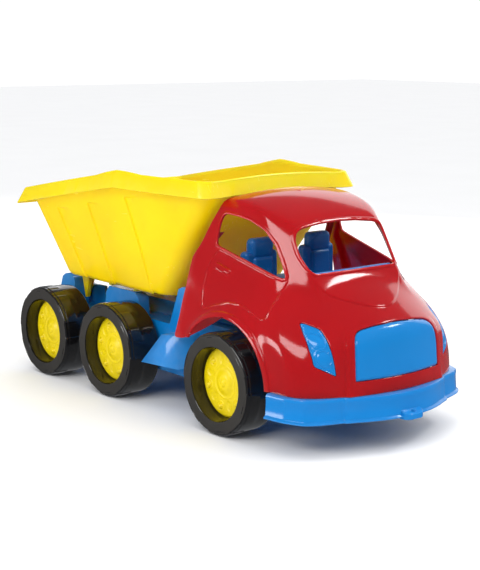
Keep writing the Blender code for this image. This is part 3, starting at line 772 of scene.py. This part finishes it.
def add_bed():
    rows = bed_rows()
    normals = grid_normals(rows)
    flat = rows.reshape(-1, 3)
    outward = normals.reshape(-1, 3)
    outward[:, 1] = np.where(np.abs(flat[:, 1]) < 1e-4, 0.0, outward[:, 1])
    outward /= np.linalg.norm(outward, axis=1, keepdims=True)
    first_row = rows.shape[1]
    outward[:first_row] = (0.0, 0.0, -1.0)
    work = bmesh.new()
    columns = rows.shape[1]
    layer = work.verts.layers.float_vector.new("outward")
    grid = [work.verts.new(point) for point in flat]
    for vert, normal in zip(grid, outward):
        vert[layer] = normal
    for i in range(len(rows) - 1):
        for j in range(columns - 1):
            a = i * columns + j
            work.faces.new((grid[a], grid[a + 1], grid[a + columns + 1], grid[a + columns]))
    work.faces.new(grid[:columns][::-1])
    for number in range(len(PANELS)):
        split_along(work, panel_offset(number), -0.9, 0.0, 0.9)
        split_along(work, panel_top(number), -1.8, -0.9, 0.0)
    points = positions(work)
    normal = np.array([vert[layer] for vert in work.verts])
    normal /= np.maximum(np.linalg.norm(normal, axis=1, keepdims=True), 1e-9)
    inner = points - normal * bed_detail(points)[:, None]
    outer = inner + normal * BED_WALL
    on_plane = np.abs(points[:, 1]) < 1e-4
    inner[on_plane, 1] = 0.0
    outer[on_plane, 1] = 0.0
    finish_piece(
        "tipper_moulding", thicken(work, inner, outer), YELLOW, "tipper", ("tipper_bed",))
    work.free()


# ---------------------------------------------------------------- prisms with rounded edges

def add_prism(work, plane, outline, low, high):
    """Closed prism on an outline in the XZ or XY plane between two values of the third axis."""
    def corner(point, level):
        across, up = point
        return (across, level, up) if plane == "XZ" else (across, up, level)
    near = [work.verts.new(corner(point, low)) for point in outline]
    far = [work.verts.new(corner(point, high)) for point in outline]
    work.faces.new(near)
    work.faces.new(far[::-1])
    for index in range(len(outline)):
        following = (index + 1) % len(outline)
        work.faces.new((near[index], far[index], far[following], near[following]))


def soften(work, width, segments=3, angle=30.0):
    """Round every edge sharper than an angle."""
    bmesh.ops.recalc_face_normals(work, faces=work.faces)
    sharp = [
        edge for edge in work.edges
        if len(edge.link_faces) == 2 and edge.calc_face_angle(0.0) > math.radians(angle)]
    bmesh.ops.bevel(
        work, geom=sharp, offset=width, segments=segments, profile=0.5, affect="EDGES",
        clamp_overlap=True)


def add_bed_fittings():
    """Hinge ears, guide legs and rest pads under the bed."""
    hinge = Vector(frame["joints"][0]["pos_m"]) / MM
    underside = BED_INNER_FLOOR - BED_WALL
    work = bmesh.new()
    ear = arc((hinge.x, hinge.z), 9.0, 180.0, 350.0, 14)
    ear += [(hinge.x + 31, underside + 1.0), (hinge.x + 21, underside + 2), (hinge.x + 5, 217)]
    guide = [(-322, underside + 1), (-298, underside + 1), (-307, 136), (-311, 136)]
    for _, side in SIDES:
        add_prism(work, "XZ", ear, side * 75 - 5, side * 75 + 5)
        add_prism(work, "XZ", guide, side * 102 - 4, side * 102 + 4)
        for x in (-215, -140):
            pad = [(x - 5, 172.3), (x + 5, 172.3), (x + 5, underside + 0.8), (x - 5, underside + 0.8)]
            add_prism(work, "XZ", pad, side * 109 - 7, side * 109 + 7)
    soften(work, 1.0)
    finish_piece("tipper_fittings", work, YELLOW, "tipper", flat_faced=True)


# ---------------------------------------------------------------- chassis and interior

def rebuilt_from_cad(node, name, material, width):
    """Copy of a CAD solid whose flat facets are merged and whose edges are rounded."""
    work = bmesh.new()
    work.from_mesh(frame["nodes"][node].data)
    bmesh.ops.transform(work, matrix=Matrix.Scale(1.0 / MM, 4), verts=work.verts)
    bmesh.ops.remove_doubles(work, verts=work.verts, dist=0.01)
    bmesh.ops.dissolve_limit(
        work, angle_limit=math.radians(2.0), verts=work.verts, edges=work.edges, delimit=set())
    soften(work, width, 3, 32.0)
    body = frame["nodes"][node]["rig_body"]
    finish_piece(name, work, material, body, (node,), 50.0, True)


def add_seat(work, centre):
    """One seat: cushion, raised back with side bolsters, and a headrest."""
    def block(outline, half, width=4.0):
        part = bmesh.new()
        add_prism(part, "XZ", outline, centre - half, centre + half)
        soften(part, width, 4)
        mesh = bpy.data.meshes.new("seat_block")
        part.to_mesh(mesh)
        part.free()
        work.from_mesh(mesh)
        bpy.data.meshes.remove(mesh)
    block([(104, 152), (188, 152), (190, 188), (184, 195), (112, 192)], 33, 4.0)
    block([(112, 160), (136, 160), (134, 270), (114, 270)], 33, 7.0)
    block([(120, 170), (142, 180), (139, 262), (120, 262)], 20, 6.0)
    block([(115, 258), (137, 258), (138, 291), (116, 291)], 23, 9.0)


def add_interior():
    work = bmesh.new()
    add_prism(work, "XZ", [(72, 150.3), (284, 150.3), (284, 154), (72, 154)], -104, 104)
    dash = [(248, 152), (262, 152), (274, 250), (272, 254.3), (258, 252), (248, 236)]
    add_prism(work, "XZ", dash, -84, 84)
    soften(work, 1.2)
    for _, side in SIDES:
        add_seat(work, side * 61.0)
    finish_piece(
        "interior_moulding", work, SEAT_BLUE, "truck", ("cabin_interior",), 50.0, True)


# ---------------------------------------------------------------- bumper

BUMPER_PLAN = [(282, 178), (318, 173), (345, 162), (356, 146), (365, 121), (369, 106), (374, 103)]
BUMPER_PLAN += [(401.5 - 0.0028 * y * y, y) for y in range(90, -1, -10)]


def bumper_section():
    """Closed section: (outward, height) from the bottom lip up the face and back down inside."""
    face = [
        (5.0, 50.6), (6.2, 51.2), (6.4, 52.6), (5.6, 53.8), (3.4, 54.6), (2.5, 56.0), (1.0, 78.0),
        (1.6, 80.5), (1.3, 84.8), (0.4, 86.7), (-1.6, 87.5), (-11.0, 87.5)]
    inside = [(-11.0, 84.4), (-3.2, 84.2), (-2.4, 80.0), (-1.0, 56.0), (1.0, 50.6)]
    return face + inside


def add_bumper():
    path = rounded(BUMPER_PLAN, 5.0, closed=False, steps=6)
    run = np.gradient(path, axis=0)
    outward = np.stack((-run[:, 1], run[:, 0]), axis=1)
    outward /= np.linalg.norm(outward, axis=1, keepdims=True)
    outward[-1] = (1.0, 0.0)
    section = bumper_section()
    points = np.array([
        [(x + n[0] * out, y + n[1] * out, z) for out, z in section]
        for (x, y), n in zip(path, outward)])
    points[-1, :, 1] = 0.0
    work = bmesh.new()
    rows = grid_faces(work, points, wrap_columns=True)
    work.faces.new(rows[0])
    solid = bmesh.new()
    mesh = bpy.data.meshes.new("bumper_half")
    work.to_mesh(mesh)
    solid.from_mesh(mesh)
    mesh.transform(Matrix.Scale(-1.0, 4, (0.0, 1.0, 0.0)))
    mesh.flip_normals()
    solid.from_mesh(mesh)
    bpy.data.meshes.remove(mesh)
    work.free()
    finish_piece("bumper_moulding", solid, BLUE, "truck", ("front_bumper",))


TAB_BOTTOM = 47.5


def loose_object(name, work):
    mesh = bpy.data.meshes.new(name)
    work.to_mesh(mesh)
    work.free()
    item = bpy.data.objects.new(name, mesh)
    bpy.context.scene.collection.objects.link(item)
    return item


def add_tow_tab():
    """Thick tongue under the bumper's nose, its top sloping forward, with a dished cord hole."""
    outline = [(398, -20)] + arc((404, -8), 12.0, -75, 0, 9) + arc((404, 8), 12.0, 0, 75, 9)
    outline += [(398, 20)]
    work = bmesh.new()
    add_prism(work, "XY", outline, TAB_BOTTOM, TAB_BOTTOM + 16.0)
    for vert in work.verts:
        if vert.co.z > TAB_BOTTOM + 1.0:
            vert.co.z -= 0.42 * (vert.co.x - 398.0)
    soften(work, 1.8, 4)
    item = loose_object("tow_tab", work)
    drill = bmesh.new()
    eye = Matrix.Translation((408.5, 0.0, 54.0))
    bmesh.ops.create_cone(
        drill, cap_ends=True, segments=40, radius1=3.4, radius2=3.4, depth=30.0, matrix=eye)
    dish = eye @ Matrix.Translation((0.0, 0.0, 6.5)) @ Matrix.Diagonal((0.62, 1.15, 1.0, 1.0))
    bmesh.ops.create_cone(
        drill, cap_ends=True, segments=40, radius1=3.0, radius2=10.0, depth=9.0, matrix=dish)
    tool = loose_object("tow_drill", drill)
    hole = item.modifiers.new("hole", "BOOLEAN")
    hole.operation = "DIFFERENCE"
    hole.use_self = True
    hole.object = tool
    bpy.context.view_layer.update()
    made = bmesh.new()
    made.from_object(item, bpy.context.evaluated_depsgraph_get())
    bpy.data.objects.remove(item)
    bpy.data.objects.remove(tool)
    finish_piece("tow_tab_moulding", made, BLUE, "truck", angle=50.0, flat_faced=True)


# ---------------------------------------------------------------- wheels

TYRE_WIDTH = 62.0
BLOCK_COUNT = 6
BLOCK_HALF_ANGLE = 20.5
BLOCK_START = 39.5
TREAD_DROP = 1.1
LENS_CHORD = 71.9
LENS_SLOPE = 0.2


def block_offset(angle):
    """Degrees from the nearest tread block's middle."""
    pitch = 360.0 / BLOCK_COUNT
    return (angle - BLOCK_START + 0.5 * pitch) % pitch - 0.5 * pitch


def tyre_angles():
    angles = set(np.arange(0.0, 360.0, 2.0))
    for number in range(BLOCK_COUNT):
        middle = BLOCK_START + 360.0 / BLOCK_COUNT * number
        for edge in (-BLOCK_HALF_ANGLE, BLOCK_HALF_ANGLE):
            for shift in (-0.7, -0.25, 0.25, 0.7):
                angles.add((middle + edge + shift) % 360.0)
    return np.array(sorted(angles))


def tyre_profile():
    """Closed (radius, width) outline of the tyre and rim moulding."""
    width = TYRE_WIDTH
    radius = WHEEL_RADIUS
    corners = [
        (3.5, 36.5), (9.0, 36.5), (9.0, 32.5), (54.8, 32.5), (57.8, width), (radius - 3.0, width),
        (radius - 0.9, width - 2.4), (radius - 0.9, width - 7.0),
        (radius, width - 8.0), (radius, width - 27.0), (radius, 3.0),
        (radius - 3.0, 0.0), (60.0, 0.0), (56.0, 28.5), (9.0, 28.5), (9.0, 0.8), (3.5, 0.8)]
    outline = [tuple(point) for point in rounded(corners, 1.3, steps=4)]
    inner_edge = width - 27.0
    extra = []
    for index, point in enumerate(outline):
        extra.append(point)
        following = outline[(index + 1) % len(outline)]
        length = math.dist(point, following)
        pieces = 1
        if point[1] > inner_edge - 3 and following[1] > inner_edge - 3 and point[0] > 57:
            pieces = max(1, int(length / 0.9))
        elif length > 12:
            pieces = 3
        for number in range(1, pieces):
            share = number / pieces
            extra.append(tuple(a + (b - a) * share for a, b in zip(point, following)))
    return np.array(extra)


def tyre_points(turn=0.0):
    """Grid of the tyre about its own axis: rows by angle, columns round the section."""
    profile = tyre_profile()
    rows = []
    for angle in tyre_angles():
        away = abs(block_offset(angle))
        in_block = 1.0 - smoothstep(away, BLOCK_HALF_ANGLE - 0.7, BLOCK_HALF_ANGLE + 0.7)
        radius, width = profile[:, 0].copy(), profile[:, 1].copy()
        outer_half = smoothstep(width, TYRE_WIDTH - 28.0, TYRE_WIDTH - 26.4)
        tread = smoothstep(radius, WHEEL_RADIUS - 6.0, WHEEL_RADIUS - 4.4)
        radius = radius - tread * TREAD_DROP * (1.0 - in_block * outer_half)
        chord = radius * math.cos(math.radians(away))
        lens = 0.3 * smoothstep(chord, LENS_CHORD, LENS_CHORD + 0.8)
        lens += LENS_SLOPE * np.maximum(chord - LENS_CHORD, 0.0)
        lens *= 1.0 - smoothstep(radius, 75.2, 76.4)
        width = width - lens * (width > TYRE_WIDTH - 3.0)
        turned = math.radians(angle + turn)
        rows.append(np.stack((radius * math.cos(turned), width, radius * math.sin(turned)), axis=1))
    return np.array(rows)


HUB_RADIUS = 54.6
HUB_FACE = 40.0
LUG_COUNT = 6


def hub_height(radius, angle):
    """Height of the hub cap's face over its base plane."""
    height = -2.2 * smoothstep(radius, 51.5, HUB_RADIUS)
    height += 4.2 * (1.0 - smoothstep(radius, 9.0, 22.0))
    height += 2.4 * np.sqrt(np.clip(1.0 - (radius / 6.2) ** 2, 0.0, 1.0))
    height += raised_line(radius - 24.5, 1.6, 0.7)
    for number in range(LUG_COUNT):
        lug = math.radians(50.0 + 360.0 / LUG_COUNT * number)
        outward = radius * np.cos(angle - lug) - 40.5
        along = radius * np.sin(angle - lug)
        away = np.hypot(outward, along)
        height += 4.0 * np.sqrt(np.clip(1.0 - (away / 4.6) ** 2, 0.0, 1.0))
        height += raised_line(away - 7.6, 1.5, 0.8)
        hollow = math.radians(50.0 + 360.0 / LUG_COUNT * (number + 0.5))
        outward = radius * np.cos(angle - hollow) - 37.0
        along = radius * np.sin(angle - hollow)
        height -= 1.2 * (1.0 - smoothstep(np.hypot(outward * 0.8, along * 1.2), 4.6, 7.4))
    return height


def hub_points():
    radii = np.concatenate((
        np.linspace(0.001, 12.6, 12), np.linspace(13.4, 33, 18), np.linspace(33.8, HUB_RADIUS, 32)))
    angles = np.radians(np.arange(0.0, 360.0, 2.5))
    grid_radius, grid_angle = np.meshgrid(radii, angles)
    height = HUB_FACE + hub_height(grid_radius, grid_angle)
    x = grid_radius * np.cos(grid_angle)
    z = grid_radius * np.sin(grid_angle)
    front = np.stack((x, height, z), axis=-1)
    back = np.stack((x, np.minimum(height - 2.2, HUB_FACE - 2.4), z), axis=-1)
    skirt = front[:, -1:, :] + np.array((0.0, -4.0, 0.0))
    inner = skirt * np.array((0.95, 1.0, 0.95))
    return np.concatenate((front, skirt, inner, back[:, -4::-1, :]), axis=1)


def paint_tyre_side(piece, x):
    """The flat outer ring of the tyre has a satin finish."""
    piece.data.materials.append(TYRE_SIDE)
    outer_face = max(abs(vert.co.y) for vert in piece.data.vertices)
    for face in piece.data.polygons:
        radius = math.hypot(face.center.x - x * MM, face.center.z - WHEEL_RADIUS * MM)
        if abs(face.normal.y) > 0.9 and radius > 0.058 and abs(face.center.y) > outer_face - 0.004:
            face.material_index = 1


def add_wheels():
    tyre = tyre_points()
    hub = hub_points()
    hub_turns = {"rear": 20.0, "middle": 0.0, "front": 35.0}
    for station in STATIONS:
        for label, side in SIDES:
            tag = f"{station}_{label}"
            low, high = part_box("tyre_" + tag)
            inner_face = (low.y if side > 0 else high.y) / MM
            x = 0.5 * (low.x + high.x) / MM
            body = "wheel_" + tag
            for name, points, turn, material, slot, node in (
                    ("tyre_moulding_", tyre, 0.0, BLACK, "black_tyre", "tyre_"),
                    ("hub_moulding_", hub, hub_turns[station], HUB_YELLOW, "yellow_hub", "hub_cap_")):
                work = bmesh.new()
                grid_faces(work, points, wrap_rows=True, wrap_columns=name.startswith("tyre"))
                spin = Matrix.Rotation(math.radians(turn), 4, "Y")
                flip = Matrix.Diagonal((1.0, side, 1.0, 1.0))
                place = Matrix.Translation((x, inner_face, WHEEL_RADIUS))
                bmesh.ops.transform(work, matrix=place @ flip @ spin, verts=work.verts)
                piece = finish_piece(name + tag, work, material, body, (node + tag,), 30.0)
                if material is BLACK:
                    paint_tyre_side(piece, x)


# ---------------------------------------------------------------- small CAD parts that stay

def finish_cad_nodes():
    steel = [f"axle_{station}" for station in STATIONS]
    steel += [f"axle_retainer_{station}_{label}" for station in STATIONS for label, _ in SIDES]
    steel += ["cab_screw_right", "cab_screw_left"]
    for node in steel + ["hinge_pin_right", "hinge_pin_left"]:
        mesh = frame["nodes"][node].data
        mesh.materials.clear()
        mesh.materials.append(STEEL if node in steel else BLUE)


# ---------------------------------------------------------------- floor, light and camera

def add_floor():
    mesh = bpy.data.meshes.new("floor")
    reach = 14.0
    corners = [(-reach, -reach, 0), (reach, -reach, 0), (reach, reach, 0), (-reach, reach, 0)]
    mesh.from_pydata(corners, [], [(0, 1, 2, 3)])
    floor = bpy.data.objects.new("floor", mesh)
    bpy.context.scene.collection.objects.link(floor)
    graph = Graph("pale_floor")
    shade = graph.remap(graph.noise(3.0, 3.0), 0.3, 0.7, 0.0, 1.0)
    graph.link(graph.mix(shade, (0.93, 0.93, 0.935), (0.95, 0.95, 0.955)), graph.shader.inputs["Base Color"])
    graph.shader.inputs["Roughness"].default_value = 0.7
    mesh.materials.append(graph.material)
    floor.visible_glossy = False


def add_area(name, place, target, size_x, size_y, power, colour=(1.0, 1.0, 1.0)):
    light = bpy.data.lights.new(name, "AREA")
    light.shape = "RECTANGLE"
    light.size = size_x
    light.size_y = size_y
    light.energy = power
    light.color = colour
    item = bpy.data.objects.new(name, light)
    item.location = place
    item.visible_camera = False
    item.rotation_euler = (Vector(target) - Vector(place)).to_track_quat("-Z", "Y").to_euler()
    bpy.context.scene.collection.objects.link(item)


def add_light():
    world = bpy.data.worlds.new("studio")
    bpy.context.scene.world = world
    world.use_nodes = True
    tree = world.node_tree
    back = tree.nodes["Background"]
    back.inputs["Color"].default_value = (1.0, 1.0, 1.0, 1.0)
    back.inputs["Strength"].default_value = 1.05
    room = tree.nodes.new("ShaderNodeBackground")
    room.inputs["Color"].default_value = (0.93, 0.96, 1.0, 1.0)
    room.inputs["Strength"].default_value = 0.22
    path = tree.nodes.new("ShaderNodeLightPath")
    mix = tree.nodes.new("ShaderNodeMixShader")
    tree.links.new(path.outputs["Is Camera Ray"], mix.inputs[0])
    tree.links.new(room.outputs[0], mix.inputs[1])
    tree.links.new(back.outputs[0], mix.inputs[2])
    tree.links.new(mix.outputs[0], tree.nodes["World Output"].inputs["Surface"])
    ceiling = bpy.data.lights.new("ceiling", "SUN")
    ceiling.energy = 2.9
    ceiling.angle = math.radians(110.0)
    item = bpy.data.objects.new("ceiling", ceiling)
    item.rotation_euler = (math.radians(-14.0), math.radians(14.0), 0.0)
    item.visible_glossy = False
    bpy.context.scene.collection.objects.link(item)
    add_area("side_softbox", (0.51, -1.59, 1.23), (0.25, 0.0, 0.2), 1.5, 0.55, 16.0)
    add_area("low_softbox", (-0.66, -1.58, 0.33), (0.28, -0.16, 0.17), 0.6, 0.34, 4.5)
    add_area("far_softbox", (0.85, 1.15, 1.50), (0.3, 0.0, 0.25), 0.40, 0.28, 6.0)
    add_area("backdrop", (-0.95, 2.05, 0.88), (0.2, 0.0, 0.25), 3.6, 1.7, 22.0)


CAMERA_PLACE = (1.7501, -1.4334, 0.5957)
CAMERA_AIM = (-0.7609, 0.6244, -0.1766)


def add_camera():
    camera = bpy.data.cameras.new("camera")
    camera.lens = 85.93
    camera.sensor_width = 36.0
    item = bpy.data.objects.new("camera", camera)
    aim = Vector(CAMERA_AIM).to_track_quat("-Z", "Y").to_matrix().to_4x4()
    roll = Matrix.Rotation(math.radians(0.19), 4, "Z")
    item.matrix_world = Matrix.Translation(CAMERA_PLACE) @ aim @ roll
    bpy.context.scene.collection.objects.link(item)
    bpy.context.scene.camera = item
    bpy.context.scene.view_settings.view_transform = "Standard"


add_cab()
add_grille()
add_headlights()
add_bed()
add_bed_fittings()
rebuilt_from_cad("chassis", "chassis_moulding", BLUE, 1.1)
add_interior()
add_bumper()
add_tow_tab()
add_wheels()
finish_cad_nodes()
add_floor()
add_light()
add_camera()
